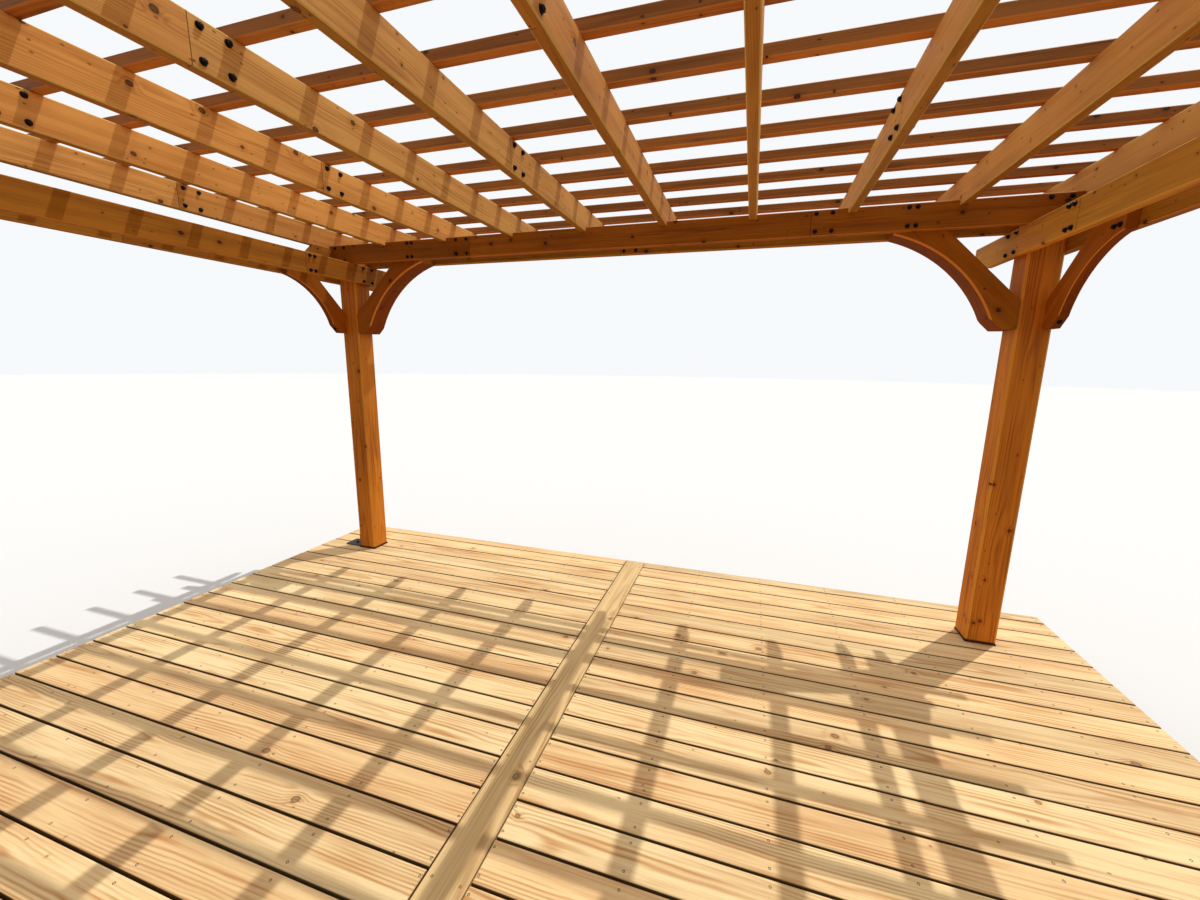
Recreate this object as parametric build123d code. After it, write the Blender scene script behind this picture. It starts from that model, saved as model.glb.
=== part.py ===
from build123d import *
import os

# A timber pergola on its deck: four posts, doubled beams on all four sides, curved braces,
# notched rafters and square purlins. X is the width, +Y the back, Z up from the ground,
# and the origin is under the middle of the roof.

# Deck under the posts
deck_board_thickness = 25.0
deck_board_gap = 2.5
centre_board_width = 132.0
joist_thickness = 38.0
joist_height = 140.0
joist_pitch = 400.0
board_overhang = 12.0
deck_margin_left = 320.0
deck_margin_right = 376.0
deck_margin_ends = 298.5

# Posts and their steel feet
post_side = 140.0
post_arris = 10.0
post_span_x = 4131.0
post_span_y = 3592.0
foot_thickness = 6.0
foot_reach = 148.0
foot_width = 112.0
foot_leg_height = 95.0
foot_setback = 12.0

# Doubled beams, one board each side of the posts
board_thickness = 38.0
board_edge = 3.0
beam_height = 122.0
headroom = 1953.0
beam_tail = 190.0
side_beam_tail = 345.0
tail_face = 36.0
tail_run = 130.0

# Half-lap splices
lap_length = 120.0
seam_gap = 0.4
beam_splice = 1083.0
beam_outer_splice = -56.0
side_splice = 412.0
side_outer_splice = 310.0

# Rafters across the front and back beams
rafter_height = 127.0
rafter_notch = 23.0
rafter_tail = 345.0
end_rafter_offset = 35.0
rafter_splices = (
    (700.0, 1),
    (-136.0, 1),
    (700.0, 1),
    (-136.0, 1),
    (712.0, 1),
    (-136.0, 1),
    (-136.0, 1),
    (866.0, -1),
    (-136.0, 1),
    (700.0, 1),
)

# Purlins on the rafters
purlin_count = 17
purlin_side = 38.0
purlin_overhang = 331.0
purlin_inset = 177.0
purlin_rows = (("purlins_front", 0, 6), ("purlins_middle", 6, 11), ("purlins_back", 11, 17))

# Curved braces
brace_foot = 339.0
brace_toe = 58.0
brace_cut = 55.0
brace_heel = 131.0
brace_arris = 8.0
beam_brace_reach = 558.0
beam_brace_radius = 700.0
beam_brace_nose = 8.0
side_brace_thickness = 40.0
side_brace_reach = 430.0
side_brace_radius = 430.0
side_brace_nose = 8.0

# Filler blocks between the outer side boards and the end rafters
block_length = 235.0

# Levels and lines that the pieces share
deck_top = joist_height + deck_board_thickness
side_beam_bottom = deck_top + headroom
beam_bottom = side_beam_bottom + beam_height
beam_top = beam_bottom + beam_height
rafter_bottom = beam_top - rafter_notch
rafter_top = rafter_bottom + rafter_height
half_span_x = post_span_x / 2
half_span_y = post_span_y / 2
rafter_length = post_span_y + 2 * rafter_tail
end_rafter_x = half_span_x + end_rafter_offset
rafter_pitch = 2 * end_rafter_x / (len(rafter_splices) - 1)
purlin_length = 2 * end_rafter_x + board_thickness + 2 * purlin_overhang
purlin_pitch = (rafter_length - 2 * purlin_inset) / (purlin_count - 1)
corners = {
    "back_left": (-1, 1),
    "back_right": (1, 1),
    "front_left": (-1, -1),
    "front_right": (1, -1),
}


def block(low, high):
    """Rectangular block between two opposite corners."""
    size = [b - a for a, b in zip(low, high)]
    return Pos(*low) * Box(*size, align=(Align.MIN, Align.MIN, Align.MIN))


def timber(length, thickness, height, clipped=True):
    """Eased board along X, thick towards +Y, its bottom at Z = 0 and its lower ends clipped."""
    half = length / 2
    outline = [(-half, 0), (half, 0), (half, height), (-half, height)]
    if clipped:
        outline = [
            (tail_run - half, 0),
            (half - tail_run, 0),
            (half, height - tail_face),
            (half, height),
            (-half, height),
            (-half, height - tail_face),
        ]
    board = extrude(Plane.XZ * Polygon(*outline, align=None), -thickness)
    return chamfer(board.edges().filter_by(Axis.X), board_edge)


def splice(board, seam, side, thickness, height):
    """Part a board in two at a half lap: its front seam at X = seam, its back seam a lap away."""
    back_seam = seam + side * lap_length
    low, high = sorted((seam, back_seam))
    half_gap = seam_gap / 2
    middle = thickness / 2
    bottom, top = -height, 2 * height
    front_cut = block((seam - half_gap, -thickness, bottom), (seam + half_gap, middle + half_gap, top))
    lap_cut = block((low, middle - half_gap, bottom), (high, middle + half_gap, top))
    back_cut = block(
        (back_seam - half_gap, middle - half_gap, bottom), (back_seam + half_gap, 2 * thickness, top)
    )
    return board - front_cut - lap_cut - back_cut


def post():
    """Square post with taken-off arrises, from its steel foot to the top of the beams."""
    height = beam_top - deck_top - foot_thickness
    blank = Box(post_side, post_side, height, align=(Align.CENTER, Align.CENTER, Align.MIN))
    return chamfer(blank.edges().filter_by(Axis.Z), post_arris)


def post_foot(angled):
    """Steel plate under a post, some with an angle that stands against the post's -X face."""
    half = post_side / 2
    side = foot_setback - half
    plate = block((-half, -half, 0), (half, half, foot_thickness))
    if not angled:
        return plate
    tongue = block((-half - foot_reach, side, 0), (-half, side + foot_width, foot_thickness))
    tongue = chamfer(tongue.edges().filter_by(Axis.Z).group_by(Axis.X)[0], foot_thickness)
    leg = block((-half - foot_thickness, side, 0), (-half, side + foot_width, foot_leg_height))
    return plate + tongue + leg


def eased_arch(brace, ends, radius, thickness, arris):
    """Take off both arrises of a brace's hollow curve, as cones about the centre of the curve."""
    (start_x, start_z), (end_x, end_z) = ends
    run = end_x - start_x
    rise = end_z - start_z
    chord = (run**2 + rise**2) ** 0.5
    back = (radius**2 - chord**2 / 4) ** 0.5 / chord
    centre_x = (start_x + end_x) / 2 + back * rise
    centre_z = (start_z + end_z) / 2 - back * run
    flare = Cone(radius + arris, radius, arris, align=(Align.CENTER, Align.CENTER, Align.MIN))
    near = Pos(centre_x, 0, centre_z) * Rot(-90, 0, 0) * flare
    far = Pos(centre_x, thickness, centre_z) * Rot(90, 0, 0) * flare
    return brace - near - far


def beam_brace():
    """Post-thick brace in the XZ plane, its heel on the post at X = 0 and its head in the beam."""
    foot = beam_bottom - deck_top - brace_foot - beam_height
    cut_x = brace_toe + brace_cut
    cut_z = foot + brace_cut
    head = beam_top - deck_top
    nose = beam_bottom - deck_top - beam_brace_nose
    heel = foot + brace_heel
    outline = Polyline((beam_brace_reach, nose), (beam_brace_reach, head), (head - heel, head))
    outline += Line((head - heel, head), (0, heel))
    outline += Polyline((0, heel), (0, foot), (brace_toe, foot), (cut_x, cut_z))
    outline += RadiusArc((cut_x, cut_z), (beam_brace_reach, nose), beam_brace_radius)
    blank = extrude(Plane.XZ * make_face(outline), -post_side)
    ends = (cut_x, cut_z), (beam_brace_reach, nose)
    return eased_arch(blank, ends, beam_brace_radius, post_side, brace_arris)


def side_brace():
    """Thin brace in the XZ plane that bolts to one side board, its heel on the post at X = 0."""
    foot = side_beam_bottom - deck_top - brace_foot
    cut_x = brace_toe + brace_cut
    cut_z = foot + brace_cut
    head = beam_bottom - deck_top
    nose = side_beam_bottom - deck_top - side_brace_nose
    heel = foot + brace_heel
    outline = Polyline((side_brace_reach, nose), (side_brace_reach, head), (head - heel, head))
    outline += Line((head - heel, head), (0, heel))
    outline += Polyline((0, heel), (0, foot), (brace_toe, foot), (cut_x, cut_z))
    outline += RadiusArc((cut_x, cut_z), (side_brace_reach, nose), side_brace_radius)
    blank = extrude(Plane.XZ * make_face(outline), -side_brace_thickness)
    ends = (cut_x, cut_z), (side_brace_reach, nose)
    return eased_arch(blank, ends, side_brace_radius, side_brace_thickness, board_edge)


def beam_board(seams):
    """One board of the back or front beam, with its seams as (place, side of the lap)."""
    board = timber(post_span_x + 2 * beam_tail, board_thickness, beam_height)
    for place, side in seams:
        board = splice(board, place, side, board_thickness, beam_height)
    return board


def side_board(seams):
    """One board of a side beam."""
    board = timber(post_span_y + 2 * side_beam_tail, board_thickness, beam_height)
    for place, side in seams:
        board = splice(board, place, side, board_thickness, beam_height)
    return board


def rafter(seam, lap_side):
    """Rafter along X, notched over the four beam boards, with one half-lap splice."""
    board = timber(rafter_length, board_thickness, rafter_height)
    outer = half_span_y
    inner = half_span_y - post_side
    for centre in (outer + board_thickness / 2, inner - board_thickness / 2):
        for side in (-1, 1):
            seat = Box(board_thickness, 3 * board_thickness, 2 * rafter_notch)
            board -= Pos(side * centre, board_thickness / 2, 0) * seat
    return splice(board, seam, lap_side, board_thickness, rafter_height)


def purlin():
    """Square purlin along X."""
    return timber(purlin_length, purlin_side, purlin_side, clipped=False)


def corner_block():
    """Block along Y on an outer side board, its inner end cut at 45 degrees; +X, +Y corner."""
    height = rafter_bottom - beam_bottom
    start = half_span_y - post_side - board_thickness
    outline = [
        (start - block_length, beam_bottom),
        (start, beam_bottom),
        (start, rafter_bottom),
        (start - block_length + height, rafter_bottom),
    ]
    return Pos(half_span_x, 0, 0) * extrude(Plane.YZ * Polygon(*outline, align=None), board_thickness)


def mirrored(shape, side_x, side_y):
    """Turn a piece of the +X, +Y corner into the like piece of another corner."""
    if side_x < 0:
        shape = mirror(shape, Plane.YZ)
    if side_y < 0:
        shape = mirror(shape, Plane.XZ)
    return shape


def deck_pieces():
    """Decking in two halves beside a centre board, on a rim and joists."""
    left = -half_span_x - deck_margin_left
    right = half_span_x + deck_margin_right
    end = half_span_y + deck_margin_ends
    middle = (left + right) / 2
    half_centre = centre_board_width / 2
    low, high = joist_height, deck_top
    pieces = {
        "deck_boards_left": block(
            (left, -end, low), (middle - half_centre - deck_board_gap, end, high)
        ),
        "deck_boards_right": block(
            (middle + half_centre + deck_board_gap, -end, low), (right, end, high)
        ),
        "deck_centre_board": block((middle - half_centre, -end, low), (middle + half_centre, end, high)),
    }
    rim_left = left + board_overhang
    rim_right = right - board_overhang
    rim_end = end - board_overhang
    inner_end = rim_end - joist_thickness
    pieces["deck_rim_back"] = block((rim_left, inner_end, 0), (rim_right, rim_end, joist_height))
    pieces["deck_rim_front"] = mirror(pieces["deck_rim_back"], Plane.XZ)
    side_rim = block((rim_left, -inner_end, 0), (rim_left + joist_thickness, inner_end, joist_height))
    shift = rim_right - rim_left - joist_thickness
    pieces["deck_rim_sides"] = Compound([side_rim, Pos(shift, 0, 0) * side_rim])
    joist = Box(joist_thickness, 2 * inner_end, joist_height, align=(Align.CENTER, Align.CENTER, Align.MIN))
    places = []
    for side in (-1, 1):
        place = half_centre
        while place < rim_right - middle - 2 * joist_thickness:
            places.append(middle + side * place)
            place += joist_pitch
    pieces["deck_joists"] = Compound([Pos(place, 0, 0) * joist for place in sorted(places)])
    return pieces


def post_pieces():
    """Posts on their feet; the left feet have an angle on their outer face."""
    pieces = {}
    for name, (side_x, side_y) in corners.items():
        x = side_x * (half_span_x - post_side / 2)
        y = side_y * (half_span_y - post_side / 2)
        place = Pos(x, y, deck_top)
        pieces["post_foot_" + name] = place * mirrored(post_foot(side_x < 0), 1, side_y)
        pieces["post_" + name] = place * Pos(0, 0, foot_thickness) * post()
    return pieces


def beam_pieces():
    """Two boards on each of the four sides; their inner faces show from under the roof."""
    inner_seam = half_span_x - beam_splice
    side_seam = half_span_y - post_side - side_splice + lap_length
    inner_beam = beam_board([(-inner_seam, -1), (inner_seam, 1)])
    outer_beam = beam_board([(beam_outer_splice, 1)])
    inner_side = side_board([(-side_seam, 1), (side_seam, -1)])
    outer_side = side_board([(side_outer_splice, 1)])
    y_inner = half_span_y - post_side - board_thickness
    x_inner = half_span_x - post_side
    pieces = {}
    pieces["back_beam_inner"] = Pos(0, y_inner, beam_bottom) * inner_beam
    pieces["back_beam_outer"] = Pos(0, half_span_y, beam_bottom) * outer_beam
    pieces["right_beam_inner"] = Pos(x_inner, 0, side_beam_bottom) * Rot(0, 0, 90) * inner_side
    pieces["right_beam_outer"] = (
        Pos(half_span_x + board_thickness, 0, side_beam_bottom) * Rot(0, 0, 90) * outer_side
    )
    for part in ("inner", "outer"):
        pieces["front_beam_" + part] = mirror(pieces["back_beam_" + part], Plane.XZ)
        pieces["left_beam_" + part] = mirror(pieces["right_beam_" + part], Plane.YZ)
    return pieces


def brace_pieces():
    """A thick brace from each post to its end beam and a thin one to its outer side board."""
    pieces = {}
    thick = Pos(half_span_x - post_side, half_span_y - post_side, deck_top) * mirror(
        beam_brace(), Plane.YZ
    )
    thin = (
        Pos(half_span_x, half_span_y - post_side, deck_top) * Rot(0, 0, 90) * mirror(side_brace(), Plane.YZ)
    )
    for name, (side_x, side_y) in corners.items():
        pieces["beam_brace_" + name] = mirrored(thick, side_x, side_y)
        pieces["side_brace_" + name] = mirrored(thin, side_x, side_y)
    return pieces


def roof_pieces():
    """Rafters from left to right, purlins from front to back and the corner blocks."""
    pieces = {}
    for index, (seam, lap_side) in enumerate(rafter_splices):
        x = index * rafter_pitch - end_rafter_x + board_thickness / 2
        board = rafter(seam, lap_side)
        pieces["rafter_%d" % (index + 1)] = Pos(x, 0, rafter_bottom) * Rot(0, 0, 90) * board
    for name, first, last in purlin_rows:
        rows = []
        for index in range(first, last):
            y = index * purlin_pitch - rafter_length / 2 + purlin_inset - purlin_side / 2
            rows.append(Pos(0, y, rafter_top) * purlin())
        pieces[name] = Compound(rows)
    pieces["corner_blocks"] = Compound([mirrored(corner_block(), *sides) for sides in corners.values()])
    return pieces


os.makedirs("parts", exist_ok=True)
model = {}
for group in (deck_pieces, post_pieces, beam_pieces, brace_pieces, roof_pieces):
    model.update(group())
for name, shape in model.items():
    export_step(shape, "parts/%s.step" % name)
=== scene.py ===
import math

import bmesh
import bpy
from mathutils import Matrix, Vector


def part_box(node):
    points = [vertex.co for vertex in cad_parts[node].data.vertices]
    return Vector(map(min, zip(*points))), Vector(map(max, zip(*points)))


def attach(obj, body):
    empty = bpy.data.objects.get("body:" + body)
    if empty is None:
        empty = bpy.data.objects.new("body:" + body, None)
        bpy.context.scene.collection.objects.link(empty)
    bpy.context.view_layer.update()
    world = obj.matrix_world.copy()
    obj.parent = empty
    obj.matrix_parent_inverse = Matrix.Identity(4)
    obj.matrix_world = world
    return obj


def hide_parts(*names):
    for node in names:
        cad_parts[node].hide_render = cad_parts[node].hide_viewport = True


# The pergola stands on its deck with X to the right, Y to the back and Z up, in metres.
# It is seen from under the roof, a little right of the middle, at eye height.
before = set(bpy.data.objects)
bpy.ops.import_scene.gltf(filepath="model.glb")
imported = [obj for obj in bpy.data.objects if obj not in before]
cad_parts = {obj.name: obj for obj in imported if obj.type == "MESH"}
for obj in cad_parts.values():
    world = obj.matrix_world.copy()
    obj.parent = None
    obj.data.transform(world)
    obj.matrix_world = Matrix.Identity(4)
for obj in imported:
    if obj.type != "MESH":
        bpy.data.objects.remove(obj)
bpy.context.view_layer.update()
eye = Vector((0.7493, -1.1453, 1.5982))
yaw, pitch, roll = -0.301929, -0.180881, 0.0139721
ahead = Vector((math.sin(yaw) * math.cos(pitch), math.cos(yaw) * math.cos(pitch), math.sin(pitch)))
level = Vector((math.cos(yaw), -math.sin(yaw), 0.0))
above = level.cross(ahead)
right = level * math.cos(roll) + above * math.sin(roll)
up = above * math.cos(roll) - level * math.sin(roll)
lens = bpy.data.cameras.new("eye")
lens.lens = 14.325
lens.sensor_width = 36.0
lens.clip_start = 0.02
camera = bpy.data.objects.new("eye", lens)
camera.matrix_world = Matrix.Translation(eye) @ Matrix((right, up, -ahead)).transposed().to_4x4()
bpy.context.scene.collection.objects.link(camera)
bpy.context.scene.camera = camera

# Deck frame: rim boards and joists of sawn softwood on the ground, one board deep, nailed
# together on edge. Every timber look starts here, because all the boards grow the same way:
# rings round a heart, long fibres, knots that the rings bend round, and darker cut ends.


class Flow:
    """One output in a look's node tree, which can take part in sums."""

    def __init__(self, tree, socket=None):
        self.tree = tree
        self.socket = socket

    def node(self, kind, settings, values, output=0):
        """A new node with its settings made first and then its sockets filled or linked."""
        made = self.tree.nodes.new("ShaderNode" + kind)
        for name, setting in settings.items():
            setattr(made, name, setting)
        for name, value in values.items():
            if isinstance(value, Flow):
                self.tree.links.new(value.socket, made.inputs[name])
            else:
                made.inputs[name].default_value = value
        return Flow(self.tree, made.outputs[output])

    def other(self, output):
        """Another output of the node that this one comes out of."""
        return Flow(self.tree, self.socket.node.outputs[output])

    def feeds(self, shader, name):
        """Link this output to one of the shader's sockets."""
        self.tree.links.new(self.socket, shader.inputs[name])

    def math(self, operation, *values):
        return self.node("Math", {"operation": operation}, dict(enumerate(values)))

    def vector(self, x, y, z):
        return self.node("CombineXYZ", {}, {0: x, 1: y, 2: z})

    def parts(self):
        """The three parts of a place or a direction."""
        apart = self.node("SeparateXYZ", {}, {0: self})
        return [apart.other(axis) for axis in "XYZ"]

    def along(self, direction):
        """How far a place or a direction goes along another direction."""
        settings = {"operation": "DOT_PRODUCT"}
        return self.node("VectorMath", settings, {0: self, 1: direction}, "Value")

    def noise(self, x, y, z, detail):
        place = self.vector(x, y, z)
        return self.node("TexNoise", {}, {"Vector": place, "Scale": 1.0, "Detail": detail})

    def scatter(self, x, y):
        """How far the nearest of many scattered points is, and that point's own chance."""
        values = {"Vector": self.vector(x, y, 0), "Scale": 1.0}
        away = self.node("TexVoronoi", {"voronoi_dimensions": "2D"}, values)
        return away, self.node("SeparateColor", {}, {0: away.other("Color")})

    def ramp(self, value, low, high, start=0.0, end=1.0):
        """A soft step of a value, from start below low to end above high."""
        values = {0: value, 1: low, 2: high, 3: start, 4: end}
        return self.node("MapRange", {"interpolation_type": "SMOOTHSTEP"}, values)

    def mix(self, share, first, second, blend="MIX"):
        settings = {"data_type": "RGBA", "blend_type": blend}
        return self.node("Mix", settings, {0: share, 6: first, 7: second}, 2)

    def tinted(self, tint):
        """This colour seen through a tint."""
        return self.mix(1.0, self, tint, "MULTIPLY")

    def __add__(self, other):
        return self.math("ADD", self, other)

    def __sub__(self, other):
        return self.math("SUBTRACT", self, other)

    def __rsub__(self, other):
        return self.math("SUBTRACT", other, self)

    def __mul__(self, other):
        return self.math("MULTIPLY", self, other)

    def __truediv__(self, other):
        return self.math("DIVIDE", self, other)

    def __pow__(self, other):
        return self.math("POWER", self, other)

    def __gt__(self, other):
        return self.math("GREATER_THAN", self, other)

    def __abs__(self):
        return self.math("ABSOLUTE", self)

    __radd__ = __add__
    __rmul__ = __mul__


def new_look(name):
    """A fresh look, its shader, and the flow that its sums start from."""
    look = bpy.data.materials.new(name)
    look.use_nodes = True
    return look, look.node_tree.nodes["Principled BSDF"], Flow(look.node_tree)


def shade(red, green, blue):
    """A colour as it shows on a screen, from 0 to 255, as light."""
    parts = [value / 255 for value in (red, green, blue)]
    return [x / 12.92 if x < 0.04045 else ((x + 0.055) / 1.055) ** 2.4 for x in parts] + [1.0]


def dimmed(colour, share):
    """A colour with only a share of its light."""
    return [value * share for value in colour[:3]] + [1.0]


def timber(
    name, middle, along, across, tones, seed, seams=(), rows=None, heart=(0.10, 0.16), ring=0.0055,
    figure=0.34, knots=(0.15, 0.0025, 0.0085, 0.9), pins=0.20, spread=1.0, section=None,
    painted_low_shade=None, painted_underside=((0.95, 0.82, 0.50), -0.5), edge_wear_and_glint=0.6,
):
    """A look for boards about a middle, with the grain along one way and a face across another.

    tones: early wood, late wood and a warm tint. seams: where a board's lengths meet, on the
    face behind and on the face before. rows: first edge and pitch of boards that share a node.
    heart: how far the rings' centre strays in width and depth. ring: a year's growth. figure:
    the contrast of the rings. knots: spacing, least and greatest radius, contrast. pins: how
    many pin knots. spread: how far boards differ. section: half the width and depth of a board
    with eased edges. painted_low_shade: the way, and the level along it below which the board
    is darkened, a painted shade for the gaps between deck boards and the foot of a post.
    painted_underside: a tint for faces that look down, and the slope where it starts, a painted
    shade on some pieces and painted light thrown up from below on others. edge_wear_and_glint:
    how pale the eased edges are, rubbed wear and a painted highlight in one."""
    look, shader, start = new_look(name)
    light, dark, warm = (shade(*tone) for tone in tones)
    along, across = Vector(along).normalized(), Vector(across).normalized()
    turn = Matrix((along, across, along.cross(across))).transposed().to_euler()
    place = start.node("TexCoord", {}, {}, "Object")
    values = {"Vector": place, "Location": middle, "Rotation": turn}
    length, width, depth = start.node("Mapping", {"vector_type": "TEXTURE"}, values).parts()

    # Every length and row counts as a board of its own, and its number shifts each pattern
    board = seed
    joint = 0.0
    for behind, before in seams:
        past = length - (depth > 0.0) * (before - behind) - behind
        board = board + (past > 0.0)
        joint = joint + start.ramp(abs(past), 0.0005, 0.0018, 1.0, 0.0)
    if rows:
        first, pitch = rows
        row = start.math("FLOOR", (width - first) / pitch)
        width = width - first - (row + 0.5) * pitch
        board = board + row
    values = {"Vector": start.vector(board, seed, 0)}
    dice = start.node("TexWhiteNoise", {"noise_dimensions": "2D"}, values, "Color")
    dice = start.node("SeparateColor", {}, {0: dice})
    side, deep, tint = (dice.other(part) for part in ("Red", "Green", "Blue"))

    # Knots, a hand or two apart, each with its bark, and pin knots between them
    spacing, least, most, contrast = knots
    away, chance = start.scatter(
        length * (0.8 / spacing) + board * 3.7, (width + depth * 1.3) / spacing + board * 7.3
    )
    radius = start.ramp(chance, 0.45, 1.0, least, most)
    reach = away * spacing / radius
    knot = start.ramp(reach, 0.8, 1.15, 1.0, 0.0)
    bark = start.math("EXPONENT", (reach - 0.95) * (reach - 0.95) * -22.0)
    swell = start.math("EXPONENT", reach * reach * -0.16)
    away, chance = start.scatter(length * 15.0 + board * 1.9, (width + depth) * 28.0 + board * 5.7)
    pin = start.ramp(away, 0.04, 0.11, 1.0, 0.0) * (chance > 1.0 - pins)

    # Rings round a heart that strays, on a trunk that tapers, bent by ripples and by the knots
    wander, taper = 0.05, 0.012
    sway = start.noise(length * 0.7, board * 9.1, 0.0, 1.0)
    off_width = width - (side - 0.5) * heart[0] - (sway - 0.5) * wander
    off_depth = depth - (deep - 0.5) * heart[1]
    ripple = start.noise(length * 2.5, width * 9.0, depth * 9.0 + board * 2.3, 2.0)
    out = (off_width * off_width + off_depth * off_depth) ** 0.5
    out = out + length * taper + (ripple - 0.5) * (2.4 * ring) + swell * radius * 1.5
    late = (start.math("SINE", out * (2 * math.pi / ring)) * 0.5 + 0.5) ** 1.7
    patch = start.noise(length * 1.7, width * 13.0 + board * 3.3, depth * 13.0, 2.0)
    late = late * start.ramp(patch, 0.36, 0.64, 0.2, 1.35)

    # Long fibres, broad streaks and the uneven take of the stain
    fibre = start.noise(length * 5.0, width * 190.0, depth * 190.0 + board, 2.0) - 0.5
    streak = start.noise(length * 1.1, width * 34.0, depth * 34.0 + board * 5.1, 2.0) - 0.5
    cloud = start.noise(length * 2.2, width * 6.0, depth * 6.0 + board * 4.7, 1.0) - 0.5
    darkness = late * figure + fibre * 0.9 + streak * 1.3 + cloud * 0.9 + swell * 0.3 + 0.12
    colour = start.mix(darkness, light, dark)
    colour = start.mix(side * 0.55 * spread, colour, colour.tinted(warm))
    colour = colour.tinted(tint * (0.28 * spread) + (1.0 - 0.15 * spread))

    # Eased edges: where a face turns from across to the side, or by the board's own section
    facing = start.node("NewGeometry", {}, {}, "Normal")
    slant = facing.along(along.cross(across))
    arris = start.ramp(abs(slant * (1.0 - slant * slant) ** 0.5), 0.30, 0.48)
    if section:
        eased, rounded = 0.0045, 0.002
        arris = 1.0
        for off, half in zip((width, depth), section):
            arris = start.ramp(abs(off), half - eased, half - rounded) * arris
    # Faces that look down are tinted: a painted shade by default and on rafter and brace soffits,
    # painted light thrown up from the deck on beam and purlin undersides.
    painted_underside_tint, slope = painted_underside
    below = start.ramp(facing.parts()[2], slope - 0.3, slope, 1.0, 0.0)
    colour = start.mix(below, colour, colour.tinted([*painted_underside_tint, 1.0]))
    # Eased edges are painted paler: partly rubbed wear, partly a painted highlight where light
    # catches them.
    worn_and_highlit_edge = [min(value * (0.9 + edge_wear_and_glint) + 0.04 * edge_wear_and_glint, 0.9) for value in light[:3]] + [1.0]
    colour = start.mix(arris * edge_wear_and_glint, colour, worn_and_highlit_edge)

    # Dark marks: round and in the knots, along the seams, on cut ends, and a painted shade low down
    colour = start.mix(swell * 0.28, colour, colour.tinted((0.72, 0.50, 0.34, 1.0)))
    colour = start.mix(knot * contrast, colour, dimmed(dark, 0.28))
    speck = start.math("MAXIMUM", start.math("MAXIMUM", bark * contrast, pin * 0.65), joint * 0.9)
    colour = start.mix(speck, colour, dimmed(dark, 0.12))
    cut = abs(facing.along(along)) > 0.6
    colour = start.mix(cut * 0.45, colour, dark)
    # Painted shade below a level: in the gaps between deck boards and at the foot of each post.
    if painted_low_shade:
        way, top = painted_low_shade
        painted_low_shade_share = start.ramp({"length": length, "depth": depth}[way], top - 0.003, top, 0.9, 0.0)
        colour = start.mix(painted_low_shade_share, colour, dimmed(dark, 0.16))
    colour.feeds(shader, "Base Color")
    (darkness * -0.15 + knot * -0.15 + 0.68).feeds(shader, "Roughness")
    height = late * 0.4 + fibre * 0.8 - knot * 0.4
    values = {"Strength": 0.3, "Distance": 0.0008, "Height": height}
    start.node("Bump", {}, values).feeds(shader, "Normal")
    shader.inputs["Specular IOR Level"].default_value = 0.16
    return look


def wears(node, look):
    """Give a carried-over solid its look."""
    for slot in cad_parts[node].material_slots:
        slot.material = look


sawn = (216, 180, 124), (160, 122, 74), (238, 224, 200)
deck_middle = 0.028
joist_middle = deck_middle, 0, 0.07
joist_pitch = 0.4
for name, seed in (("deck_rim_back", 16), ("deck_rim_front", 17)):
    low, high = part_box(name)
    wears(name, timber(name, (low + high) / 2, (1, 0, 0), (0, 0, 1), sawn, seed))
for name, first in (("deck_rim_sides", -2.5), ("deck_joists", 0.2)):
    look = timber(name, joist_middle, (0, 1, 0), (1, 0, 0), sawn, 9, rows=(first, joist_pitch))
    wears(name, look)

# Decking: eased softwood boards laid across the joists with a finger of air between them,
# butted to a centre board that runs from front to back. Two screws hold each crossing.
board_edge = 0.0040
board_width = 0.1305
board_pitch = 0.1385
board_gap = board_pitch - board_width
back_gap = 2.010
board_heart = 0, 0, 0.15
# Level in a board's depth below which its sides in the gaps get a painted shade.
gap_shade_level = 0.0144
least_rest = 0.01
top_skin = 0.002
most_lift = 0.0004
most_slip = 0.0012
deck_low, deck_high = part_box("deck_boards_left")
right_low, right_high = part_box("deck_boards_right")


def mesh_of(name, stack):
    """The mesh of a finished stack of shapes."""
    mesh = bpy.data.meshes.new(name)
    stack.to_mesh(mesh)
    stack.free()
    return mesh


def finished(name, stack, look, slot, *nodes):
    """A mesh piece that rides with the frame and may stand for some of its solids."""
    mesh = mesh_of(name, stack)
    mesh.materials.append(look)
    piece = bpy.data.objects.new(name, mesh)
    bpy.context.scene.collection.objects.link(piece)
    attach(piece, "root")
    if nodes:
        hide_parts(*nodes)
    return piece


def laid(name, spans, look, node):
    """Eased boards between opposite corners, joined as one piece that stands for a solid."""
    stack = bmesh.new()
    for low, high in spans:
        made = bmesh.ops.create_cube(stack, size=1.0)["verts"]
        size = [b - a for a, b in zip(low, high)]
        middle = [(a + b) / 2 for a, b in zip(low, high)]
        bmesh.ops.scale(stack, vec=size, verts=made)
        bmesh.ops.translate(stack, vec=middle, verts=made)
    edges = [e for e in stack.edges if min(v.co.z for v in e.verts) > deck_high.z - top_skin]
    bmesh.ops.bevel(
        stack, geom=edges, offset=board_edge, segments=2, profile=0.5, affect="EDGES", material=-1
    )
    return finished(name, stack, look, "decking", node)


pale = (247, 224, 173), (202, 152, 96), (250, 216, 192)
worn = (234, 204, 150), (184, 146, 96), (238, 226, 210)
deck_knots = 0.31, 0.002, 0.0115, 0.55
left_rows, right_rows = [], []
far = deck_high.y
near = back_gap + board_gap / 2
row = 0
while far > deck_low.y + least_rest:
    lift = most_lift * math.sin(row * 2.1)
    slip = most_slip * math.sin(row * 4.3)
    low = max(near, deck_low.y)
    left_end = deck_high.x + slip - most_slip
    right_end = right_low.x + slip + most_slip
    left_top = deck_high.z + lift - most_lift
    right_top = deck_high.z - lift - most_lift
    left_rows.append(((deck_low.x, low, deck_low.z), (left_end, far, left_top)))
    right_rows.append(((right_end, low, deck_low.z), (right_high.x, far, right_top)))
    far = near - board_gap
    near = near - board_pitch
    row += 1
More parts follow.
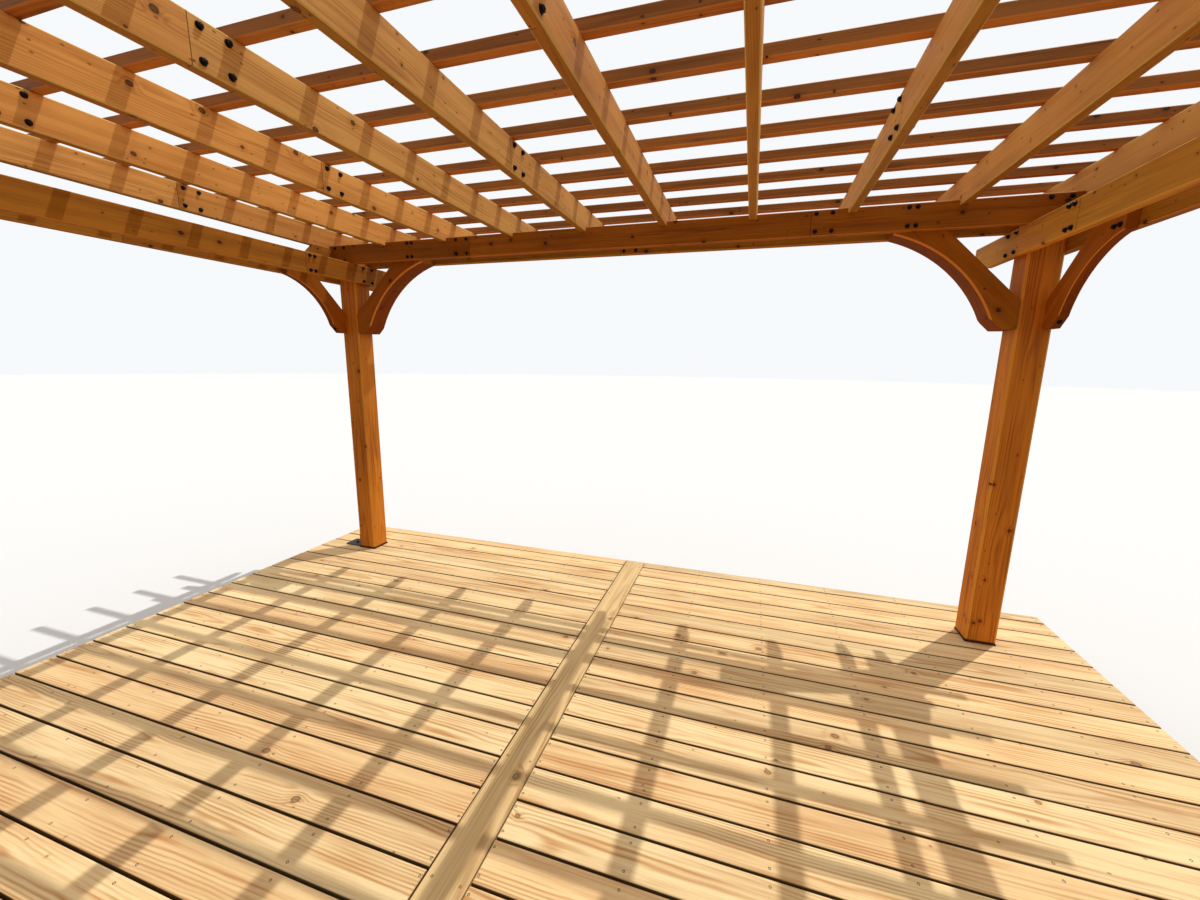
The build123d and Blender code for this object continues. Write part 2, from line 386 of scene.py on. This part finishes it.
# The deck boards' sides get a painted shade below the top, in the gaps between them; their eased
# edges get no painted highlight.
for name, spans, seed in (("boards_left", left_rows, 11), ("boards_right", right_rows, 47)):
    look = timber(
        name, board_heart, (1, 0, 0), (0, 1, 0), pale, seed, rows=(back_gap, board_pitch),
        ring=0.0095, figure=0.55, knots=deck_knots, pins=0.01, spread=0.7,
        painted_low_shade=("depth", gap_shade_level), edge_wear_and_glint=0.0,
    )
    laid(name, spans, look, "deck_" + name)
low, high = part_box("deck_centre_board")
look = timber(
    "board_centre", (low + high) / 2, (0, 1, 0), (-1, 0, 0), worn, 5,
    ring=0.0075, figure=0.5, knots=deck_knots, pins=0.01, edge_wear_and_glint=0.0,
)
laid("board_centre", [(low, high)], look, "deck_centre_board")

# Deck screws: coated steel with a flat head hardly larger than a pea and a sunk drive. They
# go through the boards by their edges, over the rims, the joists and the centre bearers.
screw_radius = 0.0043
screw_head = 0.0009
screw_sunk = 0.0006
bronze, shader, start = new_look("coated_screws")
x, y, z = start.node("TexCoord", {}, {}, "Object").parts()
grime = start.noise(x * 60.0, y * 60.0, z * 60.0, 2.0)
start.mix(grime, shade(74, 58, 40), shade(36, 28, 20)).feeds(shader, "Base Color")
(grime * 0.3 + 0.45).feeds(shader, "Roughness")
shader.inputs["Metallic"].default_value = 0.3


def driven(name, fastener, spots, look, slot):
    """Copies of one fastener at every spot, each turned to face along the spot's direction."""
    joined = bmesh.new()
    for spot, facing in spots:
        first = len(joined.verts)
        joined.from_mesh(fastener)
        joined.verts.ensure_lookup_table()
        turn = Vector(facing).to_track_quat("Z", "Y").to_matrix().to_4x4()
        matrix = Matrix.Translation(spot) @ turn
        bmesh.ops.transform(joined, matrix=matrix, verts=joined.verts[first:])
    return finished(name, joined, look, slot)


head = bmesh.new()
bmesh.ops.create_circle(head, cap_ends=True, segments=8, radius=screw_radius)
raised = bmesh.ops.extrude_face_region(head, geom=list(head.faces))["geom"]
raised = [v for v in raised if isinstance(v, bmesh.types.BMVert)]
bmesh.ops.translate(head, vec=(0, 0, screw_head), verts=raised)
top = [f for f in head.faces if f.calc_center_median().z > screw_head * 0.9]
bmesh.ops.inset_region(head, faces=top, thickness=0.0016, depth=0.0)
bmesh.ops.inset_region(head, faces=top, thickness=0.0006, depth=-0.0007)
bmesh.ops.recalc_face_normals(head, faces=head.faces)
screw = mesh_of("screw", head)

joist_start = 0.066
centre_bearers = -0.051, 0.107
rim_inset = 0.031
bearers = [
    deck_middle + side * (joist_start + joist_pitch * step)
    for side in (-1, 1) for step in range(1, 6)
]
bearers += [*centre_bearers, deck_low.x + rim_inset, right_high.x - rim_inset]
from_edge = 0.022
centre_lines = -0.018, 0.074
centre_reach = 2.0
centre_top = 0.165
centre_steps = 9
spots = []
for spans, side in ((left_rows, -1), (right_rows, 1)):
    for low, high in spans:
        for x in bearers:
            if (x - deck_middle) * side > 0:
                for y in (low[1] + from_edge, high[1] - from_edge):
                    spots.append(((x, y, high[2] - screw_sunk), (0, 0, 1)))
for step in range(centre_steps + 1):
    y = step * 2 * centre_reach / centre_steps - centre_reach
    for x in centre_lines:
        spots.append(((x, y, centre_top - screw_sunk), (0, 0, 1)))
driven("deck_screws", screw, spots, bronze, "black_steel")

# Post feet: black coated steel, a plate under each post. The left ones have an angle up the
# outer face too, held down by a bolt and held to the post by two.
black, shader, start = new_look("black_coat")
x, y, z = start.node("TexCoord", {}, {}, "Object").parts()
dust = start.noise(x * 35.0, y * 35.0, z * 35.0, 3.0)
scuff = start.ramp(start.noise(x * 120.0, y * 120.0, z * 120.0, 2.0), 0.62, 0.7)
start.mix(dust, shade(3, 3, 4), shade(18, 17, 17)).feeds(shader, "Base Color")
(dust * 0.3 + scuff * 0.15 + 0.3).feeds(shader, "Roughness")
values = {"Strength": 0.2, "Distance": 0.0004, "Height": dust}
start.node("Bump", {}, values).feeds(shader, "Normal")
shader.inputs["Specular IOR Level"].default_value = 0.2

washer_radius = 0.0105
washer_height = 0.0028
nut_radius = 0.0084
nut_height = 0.0066
nut_top = washer_height + nut_height
crown_radius = 0.0048
fixing = bmesh.new()
washer = bmesh.ops.create_cone(
    fixing, cap_ends=True, segments=18, radius1=washer_radius, radius2=washer_radius - 0.001,
    depth=washer_height,
)["verts"]
bmesh.ops.translate(fixing, vec=(0, 0, washer_height / 2), verts=washer)
nut = bmesh.ops.create_cone(
    fixing, cap_ends=True, segments=6, radius1=nut_radius, radius2=nut_radius, depth=nut_height
)["verts"]
bmesh.ops.translate(fixing, vec=(0, 0, washer_height + nut_height / 2), verts=nut)
rim = [e for e in fixing.edges if min(v.co.z for v in e.verts) > nut_top - 0.0004]
bmesh.ops.bevel(
    fixing, geom=rim, offset=0.0014, segments=2, profile=0.5, affect="EDGES", material=-1
)
crown = bmesh.ops.create_uvsphere(fixing, u_segments=12, v_segments=6, radius=crown_radius)["verts"]
bmesh.ops.scale(fixing, vec=(1, 1, 0.55), verts=crown)
bmesh.ops.translate(fixing, vec=(0, 0, nut_top - 0.0002), verts=crown)
bolt = mesh_of("bolt", fixing)

corners = {
    "back_left": (-1, 1), "back_right": (1, 1), "front_left": (-1, -1), "front_right": (1, -1)
}
tongue_top = 0.171
tongue_reach = 0.085
leg_skin = 0.006
leg_bolt_height = 0.226
leg_bolt_side = 0.030
leg_shift = 0.002
spots = []
for corner, (side_x, side_y) in corners.items():
    wears("post_foot_" + corner, black)
    if side_x < 0:
        low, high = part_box("post_" + corner)
        y = (low.y + high.y) / 2 - leg_shift * side_y
        spots.append(((low.x - tongue_reach, y, tongue_top), (0, 0, 1)))
        for offset in (-leg_bolt_side, leg_bolt_side):
            spots.append(((low.x - leg_skin, y + offset, leg_bolt_height), (-1, 0, 0)))
driven("foot_bolts", bolt, spots, black, "black_steel")

# Posts: square boxed-heart timbers under a clear orange-brown stain, their arrises taken
# off. Each stands on its steel foot and runs up between the beam boards.
stain = (226, 144, 48), (152, 80, 20), (240, 208, 170)
post_knots = 0.2, 0.003, 0.009, 0.7
half_way = 1.2
# Height of a painted shade at the foot of each post, a dark band for the shade where it meets its
# steel foot.
foot_shade_height = 0.011
# Each post gets painted highlights on its eased arrises and the painted shade at its foot.
for seed, corner in enumerate(corners):
    low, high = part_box("post_" + corner)
    middle = (low.x + high.x) / 2, (low.y + high.y) / 2, half_way
    look = timber(
        "post_" + corner, middle, (0, 0, 1), (1, 0, 0), stain, 21 + seed,
        heart=(0.05, 0.05), ring=0.0085, figure=0.36, knots=post_knots, pins=0.10, spread=0.7,
        painted_low_shade=("length", low.z + foot_shade_height - half_way),
    )
    wears("post_" + corner, look)

# Beams: two boards on edge along each side, bolted through the posts. Long boards are made
# up of lengths that lap each other for half their thickness, with two pairs of bolts a lap.
# Each side's boards have their own tones as painted light: the right side's lighter, as if lit by
# light thrown up from the deck, the back and front darker, as if in shade. Outer boards and corner
# blocks take the left side's.
beam_tones_lit_and_shaded = {
    "back": ((178, 112, 30), (120, 66, 12), (238, 208, 165)),
    "front": ((182, 115, 30), (128, 72, 12), (238, 208, 165)),
    "left": ((186, 124, 36), (132, 78, 16), (238, 212, 170)),
    "right": ((222, 162, 64), (162, 108, 34), (244, 222, 180)),
}
beam_half = 0.061, 0.019
beam_seams = {
    "back_beam_inner": ((-1.1025, -0.9825), (1.1025, 0.9825)),
    "front_beam_inner": ((-0.9825, -1.1025), (0.9825, 1.1025)),
    "back_beam_outer": ((0.064, -0.056),),
    "front_beam_outer": ((-0.056, 0.064),),
    "right_beam_inner": ((-1.244, -1.364), (1.244, 1.364)),
    "left_beam_inner": ((-1.364, -1.244), (1.364, 1.244)),
    "right_beam_outer": ((0.430, 0.310),),
    "left_beam_outer": ((0.310, 0.430),),
}
# Beam undersides are painted lighter, as if lit from the deck below, and their eased edges carry a
# painted highlight.
for seed, (name, seams) in enumerate(beam_seams.items()):
    low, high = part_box(name)
    side = name.split("_")[0]
    along = (1, 0, 0) if side in ("back", "front") else (0, 1, 0)
    tones = beam_tones_lit_and_shaded["left" if "outer" in name else side]
    look = timber(
        name, (low + high) / 2, along, (0, 0, 1), tones, 31 + 5 * seed, seams,
        pins=0.08, section=beam_half, painted_underside=((1.2, 1.0, 0.6), -0.5),
    )
    wears(name, look)

end_heights = 2.261, 2.345
end_near, end_far, end_inside = 1.618, 1.834, 1.796
end_near_bolts = 1.004, 1.0795, 1.4115, 1.4465, 1.960, 2.0345
end_far_bolts = 1.4205, 1.4595, 1.960, 2.0345
end_lap_bolts = -0.0347, 0.0393
side_heights = 2.136, 2.222
side_near, side_far = 1.8875, 2.1035
side_near_bolts = 1.2730, 1.3080, 1.702, 1.780
side_far_bolts = 1.251, 1.283, 1.702, 1.780
side_lap_bolts = 0.335, 0.405
spots = []
for face in (-1, 1):
    for z in end_heights:
        for side in (-1, 1):
            for x in end_near_bolts:
                spots.append(((side * x, face * end_near, z), (0, -face, 0)))
            for x in end_far_bolts:
                spots.append(((side * x, face * end_far, z), (0, face, 0)))
        for x in end_lap_bolts:
            spots.append(((x, face * end_far, z), (0, face, 0)))
            spots.append(((x, face * end_inside, z), (0, -face, 0)))
    for z in side_heights:
        for side in (-1, 1):
            for y in side_near_bolts:
                spots.append(((face * side_near, side * y, z), (-face, 0, 0)))
            for y in side_far_bolts:
                spots.append(((face * side_far, side * y, z), (face, 0, 0)))
        for y in side_lap_bolts:
            spots.append(((face * side_far, y, z), (face, 0, 0)))
driven("beam_bolts", bolt, spots, black, "black_steel")

# Braces: sawn from thick board with the grain on the slant, so each arch keeps its strength.
# The thick ones run up into the end beams, the thin ones bolt to the outer side boards.
brace_tones = (180, 108, 22), (128, 68, 8), (238, 205, 160)
nose_heights = {-1: 2.175, 1: 2.133}
nose_face = 2.0255
toe_y, toe_height = 1.5705, 1.8065
spots = []
# Brace soffits get a painted shade, and their eased arrises a strong painted highlight.
for seed, (corner, (side_x, side_y)) in enumerate(corners.items()):
    for kind, first, (x, y) in (("beam", 81, (side_x, 0)), ("side", 91, (0, side_y))):
        name = kind + "_brace_" + corner
        low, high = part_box(name)
        middle = (low + high) / 2
        look = timber(
            name, middle, (-x, -y, 1), (x, y, 1), brace_tones, first + seed,
            heart=(0.2, 0.1), pins=0.05, painted_underside=((0.66, 0.48, 0.28), -0.05), edge_wear_and_glint=0.9,
        )
        wears(name, look)
    spots.append(((middle.x, side_y * toe_y, toe_height), (0, -side_y, -1)))
    for y in side_far_bolts[:2]:
        spots.append(((side_x * nose_face, side_y * y, nose_heights[side_x]), (-side_x, 0, 0)))
driven("brace_bolts", bolt, spots, black, "black_steel")

# Rafters: boards on edge, notched over the end beams and clipped at their tails, each made
# of two lengths with a half lap and four bolts.
rafter_tones = (238, 180, 102), (186, 122, 54), (244, 216, 184)
lap_length = 0.120
laps = (0.700, -0.136, 0.700, -0.136, 0.712, -0.136, -0.136, 0.746, -0.136, 0.700)
turned_lap = 7
lap_bolts = 0.028, 0.102
lap_heights = 0.023, 0.106
spots = []
# Rafter soffits get a painted shade, and their eased edges a painted highlight.
for seed, lap in enumerate(laps):
    name = "rafter_%d" % (seed + 1)
    low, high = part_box(name)
    middle = (low.x + high.x) / 2, 0.0, (low.z + high.z) / 2
    seam = (lap, lap + lap_length) if seed == turned_lap else (lap + lap_length, lap)
    look = timber(
        name, middle, (0, 1, 0), (0, 0, 1), rafter_tones, 101 + 3 * seed, [seam],
        section=((high.z - low.z) / 2, (high.x - low.x) / 2), painted_underside=((0.60, 0.50, 0.28), -0.5),
    )
    wears(name, look)
    for y in lap_bolts:
        for z in lap_heights:
            spots.append(((low.x, lap + y, low.z + z), (-1, 0, 0)))
            spots.append(((high.x, lap + y, low.z + z), (1, 0, 0)))
driven("rafter_bolts", bolt, spots, black, "black_steel")

# Purlins: seventeen square softwood battens laid across the rafters and stained darker than
# they are, each screwed down from above at every crossing.
purlin_tones = (184, 126, 70), (120, 76, 44), (240, 215, 185)
purlin_middle = 0, 0, 2.485
purlin_rows = -2.08675, 0.2455
purlin_half = 0.019, 0.019
# Purlin undersides are painted lighter, as if lit by light thrown up from the deck, and their eased
# edges carry a painted highlight.
for name in ("purlins_front", "purlins_middle", "purlins_back"):
    look = timber(
        name, purlin_middle, (1, 0, 0), (0, 1, 0), purlin_tones, 141, rows=purlin_rows,
        heart=(0.06, 0.06), pins=0.06, section=purlin_half, painted_underside=((1.35, 1.16, 0.78), -0.5),
    )
    wears(name, look)

# Corner blocks: short offcuts of beam board on the outer side boards, nailed in to fill the
# room under the end rafters.
block_middle = 2.08, 0, 2.29
# The blocks take the left side's beam tones, whose lightness is painted light, and the default
# painted highlight and shade.
look = timber("corner_blocks", block_middle, (0, 1, 0), (0, 0, 1), beam_tones_lit_and_shaded["left"], 161)
wears("corner_blocks", look)

# The ground is a plain pale floor, under an even sky and a high sun from the back right.
# To the eye both are pale, and to the timber they are as dull as open ground.
ground_radius = 60.0
timber_sees, eye_sees = (0.16, 0.16, 0.16, 1.0), (0.82, 0.85, 0.89, 1.0)
ground = bmesh.new()
bmesh.ops.create_circle(ground, cap_ends=True, segments=64, radius=ground_radius)
floor = bpy.data.objects.new("ground", mesh_of("ground", ground))
bpy.context.scene.collection.objects.link(floor)
earth, shader, start = new_look("pale_ground")
shader.inputs["Roughness"].default_value = 1.0
shader.inputs["Specular IOR Level"].default_value = 0.0
seen = start.node("LightPath", {}, {}, "Is Camera Ray")
start.mix(seen, timber_sees, eye_sees).feeds(shader, "Base Color")
floor.data.materials.append(earth)

world = bpy.data.worlds.new("sky")
bpy.context.scene.world = world
world.use_nodes = True
shader = world.node_tree.nodes["Background"]
start = Flow(world.node_tree)
path = start.node("LightPath", {}, {}, "Is Camera Ray")
seen = start.math("MAXIMUM", path.other("Is Glossy Ray"), path.other("Is Transmission Ray"))
seen = start.math("MAXIMUM", path, seen)
east, north, high = start.node("TexCoord", {}, {}, "Generated").parts()
sky = abs(east) * 0.48 + north * 0.28 + start.math("MAXIMUM", high, 0.0) * 0.36 + 0.20
glow = start.vector(sky * 1.05, sky * 0.985, sky * 0.90)
start.mix(seen, glow, (0.93, 0.95, 0.97, 1.0)).feeds(shader, "Color")

sunlight = Vector((-0.304, -0.357, -1.0))
lamp = bpy.data.lights.new("sun", "SUN")
lamp.energy = 1.95
lamp.angle = math.radians(0.55)
lamp.color = (1.0, 0.97, 0.92)
sun = bpy.data.objects.new("sun", lamp)
sun.rotation_mode = "QUATERNION"
sun.rotation_quaternion = sunlight.to_track_quat("-Z", "Y")
bpy.context.scene.collection.objects.link(sun)

bpy.context.scene.view_settings.view_transform = "Standard"
